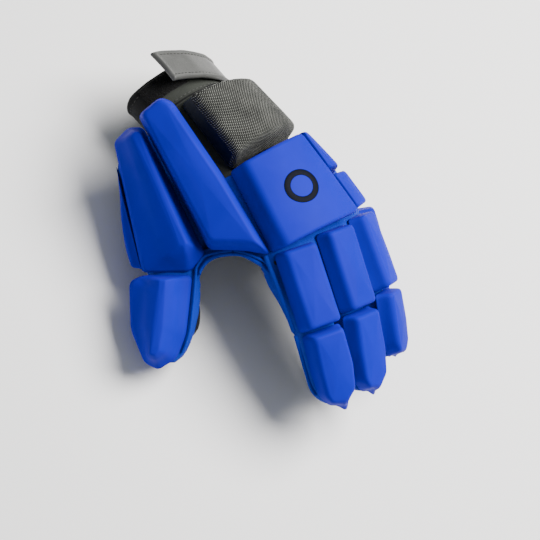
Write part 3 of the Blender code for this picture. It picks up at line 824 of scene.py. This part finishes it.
def thumb_sleeves(looks):
    rings = sleeve_rings(along_thumb, thumb_shape, stations(-79.5, 4.0, 1.5), (0.0,), 21)
    sleeve = add_sleeve("thumb_base_sleeve", looks, rings, SEAMS, 8, close_start=True)
    bend_between(sleeve, "web", "thumb_base", ("thumb_base", 34, -20, -12), ("thumb_base", 12, -20, -12),
                 "blue_lining", "thumb_base_stall", "thumb_base_lining")
    rings = sleeve_rings(along_thumb, thumb_shape, stations(0.5, 49.2, 1.2), (0.0,), 21)
    sleeve = add_sleeve("thumb_tip_sleeve", looks, rings, SEAMS, 2, close_end=True)
    bend_between(sleeve, "thumb_base", "thumb_tip", ("thumb_tip", 6, 5, -10), ("thumb_tip", 6, -9, -10),
                 "blue_lining", "thumb_tip_stall")


# ---------------------------------------------------------------- panels and piping

def marks(start, end, step, border=1.2):
    """Places from start to end, close together within a border of both ends."""
    inner = stations(start + border, end - border, step)
    near = [border * share for share in (0.0, 0.08, 0.25, 0.55)]
    return [start + d for d in near] + inner + [end - d for d in reversed(near)]


def slab(made, surface, us, vs, over, under, border=1.2, welt=0.0):
    """A closed panel on a surface, over above it and under below, with round edges. welt raises its rim."""
    middle, half = (over - under) / 2, (over + under) / 2
    top, low = [], []
    for u in us:
        top_row, low_row = [], []
        for v in vs:
            point, out = surface(u, v)
            edge = min(u - us[0], us[-1] - u, v - vs[0], vs[-1] - v)
            rise = math.sqrt(max(0.0, 1.0 - (1.0 - min(edge / border, 1.0)) ** 2))
            groove = 0.5 * math.exp(-((edge - 2.9) / 0.5) ** 2)
            rim = ease(edge / 0.9) * (1.0 - ease((edge - 1.9) / 0.7)) - groove
            top_row.append(made.verts.new(point + out * (middle + half * rise + welt * rim) * MM))
            low_row.append(top_row[-1])
            if edge >= 1e-9:
                low_row[-1] = made.verts.new(point + out * (middle - half * rise) * MM)
        top.append(top_row)
        low.append(low_row)
    for i in range(len(us) - 1):
        for j in range(len(vs) - 1):
            for grid in (top, low):
                made.faces.new((grid[i][j], grid[i + 1][j], grid[i + 1][j + 1], grid[i][j + 1]))


def rim_stitches(made, surface, us, vs, above, inside):
    """A row of stitches inside a panel's edge."""
    u0, u1, v0, v1 = us[0] + inside, us[-1] - inside, vs[0] + inside, vs[-1] - inside
    corners = [Vector(corner) for corner in ((u0, v0), (u1, v0), (u1, v1), (u0, v1))]
    for start, end in zip(corners, corners[1:] + corners[:1]):
        across = end - start
        count = max(3, int(abs(across.x) + abs(across.y)))
        rows = [surface(*(start + across * k / count)) for k in range(count + 1)]
        add_stitches(made, [point + out * above * MM for point, out in rows], [out for _, out in rows], 1)


def panel(name, looks, surface, us, vs, over, under, border=1.2, welt=0.0, stitches=None):
    """A slab as a piece. stitches gives their height and how far inside the edge they run."""
    made = bmesh.new()
    slab(made, surface, us, vs, over, under, border, welt)
    if stitches:
        rim_stitches(made, surface, us, vs, *stitches)
    return add_piece(name, made, looks)


def cord(name, path, up, radius, looks, flatten=1.0):
    """A cord along a path in metres, with round ends."""
    rings = []
    last = len(path) - 1
    for i, point in enumerate(path):
        side, over = across_path(path[min(i + 1, last)] - path[max(i - 1, 0)], up)
        from_end = min((path[i] - path[0]).length, (path[last] - path[i]).length) / (radius * MM)
        size = radius * MM * max(0.15, math.sqrt(max(0.0, 1.0 - max(0.0, 1.0 - from_end) ** 2)))
        size *= 1.0 + 0.05 * ripple(point / MM, 4.0, 81)
        side, over = side * size, over * size * flatten
        rings.append([point + side * x + over * y for x, y in circle(12)])
    return add_piece(name, loft(rings, True, True), [looks["stretch"]])


# ---------------------------------------------------------------- the hand, the web and the palm

ROUND_HAND = 60
HAND_CORNERS = 15


def hand_outline(y):
    """The corners of the hand's section, from the thumb's edge over the back and round the palm."""
    wrist = ease((y - 12.0) / 40.0)
    reach = 63.0 - 30.0 * wrist
    deep = 24.0 + 14.0 * ease((y + 5.0) / 22.0) + 9.0 * ease((y - 26.0) / 24.0)
    drop = 5.0 * (1.0 - ease((y + 5.0) / 18.0))
    back = [hand_arch(-40.5 + (reach + 40.5) * i / 6, y, -0.6) for i in range(7)]
    edge = back[-1]
    side = deep + drop + edge.z
    palm = [
        (edge.x + 2.2, edge.z - 0.30 * side), (edge.x - 0.5, edge.z - 0.70 * side),
        (edge.x - 12.0, 1.0 - deep - drop * 0.6), (edge.x * 0.45 - 5.0, -deep), (-14.0, -deep),
        (-27.0, 3.0 - deep - drop * 0.5), (-36.0, 9.0 - deep), (-39.6, -23.0),
    ]
    return [Vector((p.x, p.z)) for p in back] + [Vector(p) for p in palm]


def hand_skin(u, y, shrink=1.0):
    corners = hand_outline(y)
    point = loop_point(corners, u)
    middle = sum(corners, Vector((0, 0))) / len(corners)
    point = middle + (point - middle) * shrink
    slack = 0.45 * ripple((point.x, y, point.y), 12.0, 31)
    return place("hand", point.x, y, point.y + slack)


def hand_surface(u, y):
    """A point of the hand's skin and the direction out of it."""
    point = hand_skin(u, y)
    across, along = hand_skin(u + 0.05, y) - point, hand_skin(u, y + 0.5) - point
    return point, across.cross(along).normalized()


def hand_sleeve(looks):
    rings = []
    tucked = [(-8.5, 0.86), (-7.6, 0.94), (-6.2, 0.98)]
    for y, shrink in tucked + [(y, 1.0) for y in stations(-4.5, 51.0, 1.6)]:
        rings.append([hand_skin(HAND_CORNERS * j / ROUND_HAND, y, shrink) for j in range(ROUND_HAND)])
    sleeve = add_sleeve("hand_sleeve", looks, rings, (33, 54), 4, close_start=True)
    attach(sleeve, "hand", "blue_lining", "back_lining", "palm_panel")

    def palm(u, v):
        return hand_surface(u / 10.0, v)

    us = [u * 10.0 for u in marks(9.4, 12.6, 0.2, 0.12)]
    grip = panel("palm_grip_patch", [looks["suede"], looks["grey_thread"]], palm, us, marks(13.0, 43.0, 2.0),
                 1.1, 0.6, stitches=(1.0, 2.4))
    attach(grip, "hand", "palm_grip", "palm_grip")


WEB_RIM = [(-41.0, 9.5), (-39.3, 12.2), (-33.8, 14.9), (-26.8, 14.4), (-19.5, 11.2), (-14.8, 7.9),
           (-11.3, 2.6), (-8.4, -3.0), (-7.2, -8.0)]
WEB_INSIDE = [(-42.5, 17.0), (-40.0, 18.5), (-33.5, 21.3), (-26.0, 20.0), (-17.5, 16.5), (-11.5, 12.0),
              (-6.0, 6.0), (-2.0, 1.0), (-1.5, -4.0)]
# The lip's section: the share of the way from the rim to the inside, and the height.
WEB_SECTION = [(1.1, -1.8), (0.80, -1.9), (0.55, -2.2), (0.40, -1.9), (0.30, -0.9), (0.16, -0.5),
               (0.05, -1.0), (0.0, -2.4), (0.03, -4.2), (0.12, -6.6), (0.35, -9.0), (0.8, -10.5), (1.2, -9.0),
               (1.3, -5.0)]


def web_lip(looks):
    """The lip of cloth round the crotch of the thumb and its piping, each split where the web folds."""
    outer, inner = (smooth_line([(x, y, 0) for x, y in line], 64) for line in (WEB_RIM, WEB_INSIDE))
    section = [Vector(corner) for corner in WEB_SECTION]
    section = [loop_point(section, len(section) * k / 36) for k in range(36)]
    rings, seam = [], []
    for i, (p, q) in enumerate(zip(outer, inner)):
        sink = -3.2 * ease((-23.0 - p.x) / 10.0) - 3.2 * ease((p.x + 13.5) / 7.0)
        tuck = 0.45 * ease((3.0 - i) / 6.0 + 0.5)
        ring = []
        for share, z in section:
            point = p.lerp(q, share + (0.7 - share) * tuck)
            y = point.y + 0.2 * ripple((p.x, p.y, z), 5.0, 41)
            ring.append(place("web", point.x, y, (z + 5.0) * (1.0 - tuck) - 5.0 + sink - 0.1))
        rings.append(ring)
        hug = p.lerp(q, 0.50 + 0.14 * ease((-26.0 - p.x) / 8.0))
        seam.append(place("web", hug.x, hug.y, sink * 0.9 - 0.9))
    split = next(i for i, p in enumerate(outer) if p.x > -19.5)
    up = FRAMES["web"].to_3x3() @ UP
    to_thumb = ("web", "thumb_base", ("web", -25, 17, 0), ("web", -36, 15, 0), "blue_lining")
    to_hand = ("hand", "web", ("web", -4, 0, 0), ("web", -12, 9, 0), "blue_lining")
    lip = add_piece("web_lip_thumb", loft(rings[:split + 1], True, True), [looks["stretch"]])
    bend_between(lip, *to_thumb)
    lip = add_piece("web_lip_hand", loft(rings[split:], True, True), [looks["stretch"]])
    bend_between(lip, *to_hand)
    bend_between(cord("web_piping_thumb", seam[2:split + 1], up, 0.75, looks), *to_thumb)
    bend_between(cord("web_piping_hand", seam[split:-6], up, 0.75, looks), *to_hand, "web_binding")


def web_backing(looks):
    rings = []
    for z, distance in ((-2.0, 3.0), (-2.0, 1.6), (-1.4, 0.7), (-0.2, 0.4)):
        outline = rounded(inset(WEB_PAD, [distance] * len(WEB_PAD)), 3.5, [8] * len(WEB_PAD))
        rings.append([place("web", p.x, p.y, z) for p in outline])
    backing = add_piece("web_backing", loft(rings, True, True), [looks["stretch"]])
    attach(backing, "web", "blue_lining", "web_lining")


def edge_piping(looks):
    """The cords at the feet of the thumb's and the index finger's pads, beside the gap between them."""
    low = 2 - FINGERS["index"]["length"][0]
    for name, first, second, points, radius, count, flatten, x, start, end in (
        ("thumb_tip_piping", "thumb_base", "thumb_tip",
         [(21.6, 3.5, -1.0), (21.3, -1.0, -0.8), (20.4, -12.0, -0.7), (19.4, -22.0, -0.7),
          (18.0, -32.0, -0.8), (15.8, -39.5, -1.0), (13.6, -44.2, -1.6)], 0.8, 60, 1.0, 19, 4, -5),
        ("index_base_piping", "hand", "index_base",
         [(-16.8, 0.5, -2.6), (-16.6, -8, -1.9), (-16.0, -24, -1.6), (-15.2, low, -1.5)],
         1.35, 50, 0.8, -14, 2, -8),
        ("index_tip_piping", "index_base", "index_tip",
         [(-15.2, 1.0, -1.5), (-14.6, -10, -1.5), (-14.2, -20, -1.5), (-13.4, -30, -1.6), (-11.2, -37, -1.9)],
         1.1, 50, 0.8, -14, 3, -3),
    ):
        path = [place(second, *point) for point in smooth_line(points, count)]
        line = cord(name, path, FRAMES[second].to_3x3() @ UP, radius, looks, flatten)
        bend_between(line, first, second, (second, x, start, 0), (second, x, end, 0), "blue_lining")


def thumb_grip(looks):
    turned = FRAMES["thumb_tip"].to_3x3()

    def surface(u, v):
        """The palm side of the thumb's sleeve, rolled up at its edges."""
        u = 8.7 + (u - 8.7) * (1.0 - 0.5 * abs((v + 22.0) / 14.0) ** 3)
        x = (u - 8.7) / 14.5
        z = -20.9 + 8.0 * max(0.0, abs(x) - 0.35) ** 1.8 + 2.0 * ease((-26.0 - v) / 14.0)
        return place("thumb_tip", u, v, z), turned @ Vector((0.9 * x * abs(x), 0.0, -1.0)).normalized()

    grip = panel("thumb_grip", [looks["suede"], looks["grey_thread"]], surface, marks(-5.0, 22.6, 2.0),
                 marks(-36.0, -8.0, 1.6), 1.2, 1.2, stitches=(1.15, 2.2))
    attach(grip, "thumb_tip", "palm_grip", "thumb_grip_patch")


# ---------------------------------------------------------------- the wrist

def cuff_oval(angle, out, y):
    """A point round the cuff, in its frame. 0 degrees is the wrist's back, 90 the little finger's side."""
    turned = math.radians(angle)
    x = WRIST_CENTRE_X + (CUFF_HALF_WIDTH + out) * math.sin(turned)
    return Vector((x, y, CUFF_CENTRE_Z + (CUFF_HALF_HEIGHT + out) * math.cos(turned)))


def cuff_point(angle, out, y):
    return place("cuff", *cuff_oval(angle, out, y))


def cuff_out(angle):
    turned = math.radians(angle)
    out = Vector((math.sin(turned) / CUFF_HALF_WIDTH, 0, math.cos(turned) / CUFF_HALF_HEIGHT)).normalized()
    return FRAMES["cuff"].to_3x3() @ out


def cuff_sleeve(looks):
    """The knitted tube between the hand and the wristband, with a turned front hem."""
    rings = []
    slope = math.tan(math.radians(20.0))
    profile = [(-0.9, 0.0, 1), (-0.3, -1.4, 1), (0.9, -1.4, 1), (1.5, 0.0, 1), (1.3, 2.5, 1), (0.4, 4.0, 1)]
    profile += [(0.0, y, 0) for y in stations(6.0, CUFF_END, 1.8)]
    profile += [(-1.6, CUFF_END, 0), (-1.6, 30.0, 0), (-1.6, 6.0, 1)]
    for out, y, in_hem in profile:
        ring = []
        for k in range(72):
            angle = 5.0 * k
            depth = cuff_oval(angle, 0.0, 0.0).z
            start = 3.5 - slope * depth - 9.0 * ease((depth + 34.0) / 24.0)
            there = start + y if in_hem else start + (CUFF_END - start) * y / CUFF_END
            rib = 0.0 if in_hem else 0.22 * math.sin(there * 2.1)
            slack = 0.5 * ripple((angle * 0.6, there, 0.0), 13.0, 51)
            ring.append(cuff_point(angle, out + rib + slack - 0.4, there))
        rings.append(ring)
    sleeve = add_piece("cuff_knit", loft(rings), [looks["jersey"]])
    bend_between(sleeve, "hand", "cuff", ("cuff", -3.5, -3, -24), ("cuff", -3.5, 13, -24), "black_fabric",
                 "cuff_sleeve")


def band_profile(low, high, under, bead):
    """The closed section of a band: (distance out, y), with a bead along both edges."""
    middle, half, size = -under / 2, (under + bead) / 2, 1.6

    def edge(y, step):
        turns = (math.radians(100.0 + step * k) for k in range(9))
        return [(middle + half * math.sin(a), y + size * math.cos(a)) for a in turns]

    front = [(0.0, y) for y in stations(low + size + 1.0, high - size - 1.0, 3.0)]
    back = [(-under, y) for _, y in reversed(front)]
    return front + edge(high - size, -25.0) + back + edge(low + size, 25.0)


BAND_COUNT = 96


def wristband(looks):
    """The neoprene band with a jersey front, thicker where its two edges are bound and stitched."""
    low, high = BAND_Y
    profile = band_profile(low, high, 2.6, 1.3)
    rings = []
    angles = [360.0 * k / BAND_COUNT for k in range(BAND_COUNT + 1)]
    for angle in angles[:-1]:
        wave = 0.5 * math.sin(math.radians(3 * angle)) + 0.5 * ripple((angle * 0.5, 0, 0), 12.0, 61)
        rings.append([cuff_point(angle, out + 0.25 * ripple((angle * 0.6, y, 0), 8.0, 62), y + wave)
                      for out, y in profile])
    rings.append(rings[0])
    made = loft(rings, looks=lambda i, j: 2 if profile[j][1] < 64.0 and profile[j][0] > -1.0 else 0)
    bmesh.ops.remove_doubles(made, verts=made.verts, dist=1e-7)
    for y in (low + 3.6, high - 3.6):
        path = [cuff_point(angle, 0.1, y) for angle in angles]
        add_stitches(made, path, [cuff_out(angle) for angle in angles], 1, 3.2)
    band = add_piece("wrist_band", made, [looks["black"], looks["grey_thread"], looks["jersey"]])
    attach(band, "cuff", "black_fabric", "wristband")


STRAP_THICK = 1.3
STRAP_WIDTH = 20.0
# Where the strap's front and back edges lie along the wrist where it is closed.
STRAP_FRONT, STRAP_BACK = 55.4, 75.6


def strap_line():
    """The strap's route in the cuff frame, from the tab's free end round to the little finger's side."""
    to_cuff = FRAMES["cuff"].inverted() @ FRAMES["strap"]
    route = [to_cuff @ Vector((x, 0, 1.5)) for x in (-37.3, -28.0, -18.0, -9.0)]
    closed = ((20, 2.6), (36, 1.6), (50, 1.6), (66, 1.6), (84, 1.6))
    route += [cuff_oval(angle, out, 0.0) for angle, out in closed]
    return smooth_line([(point.x, 0, point.z) for point in route], 200)


def make_strap_surface():
    """The strap as a surface: u is the distance from the free end and v the distance across."""
    line = strap_line()
    lengths = [0.0]
    for a, b in zip(line, line[1:]):
        lengths.append(lengths[-1] + (b - a).length)
    turned = FRAMES["cuff"].to_3x3()

    def surface(u, v):
        i = 0
        while i < len(lengths) - 2 and lengths[i + 1] < u:
            i += 1
        share = (u - lengths[i]) / (lengths[i + 1] - lengths[i])
        point = line[i].lerp(line[i + 1], share)
        along = (line[min(i + 3, len(line) - 1)] - line[max(i - 2, 0)]).normalized()
        flare = 1.0 - ease(u / 62.0)
        near = STRAP_FRONT + 7.0 * flare
        far = STRAP_BACK + 8.2 * flare - (1.0 - ease(u / 6.0)) * 0.3
        curl = 0.5 * math.sin(math.pi * v / STRAP_WIDTH) * (1.0 - ease(u / 30.0))
        out = Vector((-along.z, 0, along.x))
        where = point + out * curl
        return place("cuff", where.x, near + (far - near) * v / STRAP_WIDTH, where.z), turned @ out

    return surface, lengths[-1]


def strap(looks):
    """The rubber-faced strap, free as far as the hinge and then fixed, and the webbing it goes on in."""
    surface, length = make_strap_surface()
    us, vs = marks(0.0, length - 1.0, 1.3, 1.0), marks(0.0, STRAP_WIDTH, 0.8, 1.0)
    tab = panel("wrist_strap_tab", [looks["strap"], looks["dark_thread"]], surface, us, vs, STRAP_THICK,
                STRAP_THICK, 1.0, 0.65, (STRAP_THICK - 0.1, 2.9))
    bend_between(tab, "cuff", "strap", ("cuff", 7.0, 65, 0), ("cuff", -3.0, 65, 0), "strap_grey", "strap_tab")

    def webbing(u, v):
        angle = u * 2
        y = STRAP_FRONT + v * (STRAP_BACK - STRAP_FRONT) / STRAP_WIDTH
        return cuff_point(angle, 1.2, y), cuff_out(angle)

    us, vs = marks(38.0, 76.0, 1.2, 1.0), marks(0.0, STRAP_WIDTH, 1.0, 1.0)
    web = panel("strap_webbing", [looks["black"], looks["grey_thread"]], webbing, us, vs, 0.9, 0.9, 1.0, 0.25,
                (0.92, 2.6))
    attach(web, "cuff", "black_fabric", "wrist_strap")


def patches(looks):
    """The loop pile on the band and the hooks under the tab."""
    turned = FRAMES["strap"].to_3x3()

    def pile(u, v):
        return cuff_point(-u, 0.5 + 0.30 * ripple((u, v, 0), 1.3, 71), v), cuff_out(-u)

    def sole(u, v):
        return place("strap", u, v + (-14.0 - u) * 0.18, 0.35), turned @ -UP

    us, vs = marks(20.0, 75.0, 1.0, 1.0), marks(63.0, 75.2, 0.8, 1.0)
    loops = panel("loop_pile", [looks["hook"]], pile, us, vs, 0.9, 0.9, 0.9)
    attach(loops, "cuff", "hook_loop", "loop_patch")
    made = bmesh.new()
    slab(made, sole, marks(-34.0, -14.0, 1.5, 0.8), marks(61.5, 76.0, 1.5, 0.8), 0.8, 0.8, 0.8)
    for i in range(14):
        for j in range(10):
            point, out = sole(-33.0 + 18.0 * i / 13, 62.6 + 12.3 * j / 9)
            stem = at(*(point + out * 0.7 * MM)) @ out.to_track_quat("Z", "Y").to_matrix().to_4x4()
            bmesh.ops.create_cone(made, segments=5, radius1=0.28 * MM, radius2=0.42 * MM, depth=0.8 * MM,
                                  cap_ends=True, matrix=stem)
    hooks = add_piece("hook_face", made, [looks["hook"]])
    attach(hooks, "strap", "hook_loop", "hook_patch")


MARK_AT = (-12.5, 26.0)
# The printed ring's circles: radius and height over the skin.
MARK_RINGS = ((6.2, 0.0), (6.4, 0.12), (8.0, 0.12), (9.6, 0.12), (9.8, 0.0))


def mark(looks, knuckle_pad):
    """A plain printed ring on the knuckle pad."""
    tree = bvhtree.BVHTree.FromObject(knuckle_pad, bpy.context.evaluated_depsgraph_get())
    made = bmesh.new()
    rows = []
    for radius, lift in MARK_RINGS:
        row = []
        for x, y in circle(72):
            spot = MARK_AT[0] + radius * x, MARK_AT[1] + radius * y
            start, below = (place("hand", *hand_arch(*spot, out)) for out in (22.0, 0.0))
            ray = (below - start).normalized()
            row.append(made.verts.new(tree.ray_cast(start, ray)[0] - ray * lift * MM))
        rows.append(row)
    bridge(made, rows)
    attach(add_piece("printed_ring", made, [looks["ink"]]), "hand", "blue_skin")


# ---------------------------------------------------------------- camera, floor and light

# The photograph's view in the hand frame: azimuth, elevation and roll, the distance in millimetres, the
# share of the frame's width that a millimetre takes up, and where the hand's origin falls, as a share of
# the frame's width from its middle.
VIEW_AZIMUTH, VIEW_ELEVATION, VIEW_ROLL = -84.23, 36.89, 56.55
VIEW_DISTANCE = 1100.0
VIEW_SCALE = 0.00326815
VIEW_OFFSET = (0.1086, 0.0796)
SENSOR = 36.0
LIGHT_AIM = Vector((0, 0, 0.04))


def view_axes():
    """The camera's right, up and back in the hand frame."""
    azimuth, elevation, roll = (math.radians(v) for v in (VIEW_AZIMUTH, VIEW_ELEVATION, VIEW_ROLL))
    reach = math.cos(elevation)
    back = Vector((math.sin(azimuth) * reach, -math.cos(azimuth) * reach, math.sin(elevation)))
    level = (-back).cross(UP).normalized()
    rise = level.cross(-back)
    right = level * math.cos(roll) + rise * math.sin(roll)
    return right, right.cross(-back), back


def make_camera():
    right, up, back = view_axes()
    eye = back * VIEW_DISTANCE
    focal = VIEW_SCALE * VIEW_DISTANCE
    aim = -back - right * (VIEW_OFFSET[0] / focal) - up * (VIEW_OFFSET[1] / focal)
    back = -aim.normalized()
    right = up.cross(back).normalized()
    up = back.cross(right)
    turned = Matrix((right, up, back)).transposed().to_4x4()
    pose = FRAMES["hand"] @ at(*eye) @ turned
    data = bpy.data.cameras.new("camera")
    data.sensor_width = SENSOR
    data.lens = focal * SENSOR
    data.clip_start, data.clip_end = 0.01, 50.0
    camera = link(bpy.data.objects.new("camera", data))
    camera.matrix_world = at(*(pose.translation * MM)) @ pose.to_3x3().to_4x4()
    bpy.context.scene.camera = camera


def add_light(name, direction, distance, size, power, colour):
    """A soft area light that looks at the glove from a direction in the camera's axes."""
    right, up, back = view_axes()
    turned = FRAMES["hand"].to_3x3()
    towards = (turned @ (right * direction[0] + up * direction[1] + back * direction[2])).normalized()
    data = bpy.data.lights.new(name, "AREA")
    data.shape = "DISK"
    data.size, data.energy, data.color = size, power, colour
    lamp = link(bpy.data.objects.new(name, data))
    lamp.location = LIGHT_AIM + towards * distance
    lamp.rotation_euler = towards.to_track_quat("Z", "Y").to_euler()


def make_studio():
    made = bmesh.new()
    bmesh.ops.create_grid(made, x_segments=2, y_segments=2, size=6.0)
    floor_look = Nodes("floor", Roughness=0.6, Specular_IOR_Level=0.2)
    mottle = floor_look.ramp(floor_look.noise(3.0, 3.0), (0.3, grey(0.96)), (0.7, grey(0.97)))
    floor = add_piece("floor", made, [floor_look.finish(mottle)])
    world = bpy.data.worlds.new("studio")
    bpy.context.scene.world = world
    world.use_nodes = True
    background = world.node_tree.nodes["Background"]
    background.inputs["Color"].default_value = (0.93, 0.98, 1.0, 1.0)
    background.inputs["Strength"].default_value = 0.30
    add_light("key", direction=(0.85, 0.55, 0.50), distance=1.4, size=1.1, power=62.0,
              colour=(1.0, 0.98, 0.96))


def main():
    looks = make_looks()
    make_camera()
    make_studio()
    finger_pads(looks)
    knuckle_pad = hand_pads(looks)
    for seed, name in enumerate(FINGERS):
        finger_sleeve(name, looks, seed)
    thumb_sleeves(looks)
    hand_sleeve(looks)
    web_lip(looks)
    web_backing(looks)
    edge_piping(looks)
    thumb_grip(looks)
    cuff_sleeve(looks)
    wristband(looks)
    strap(looks)
    patches(looks)
    mark(looks, knuckle_pad)


main()
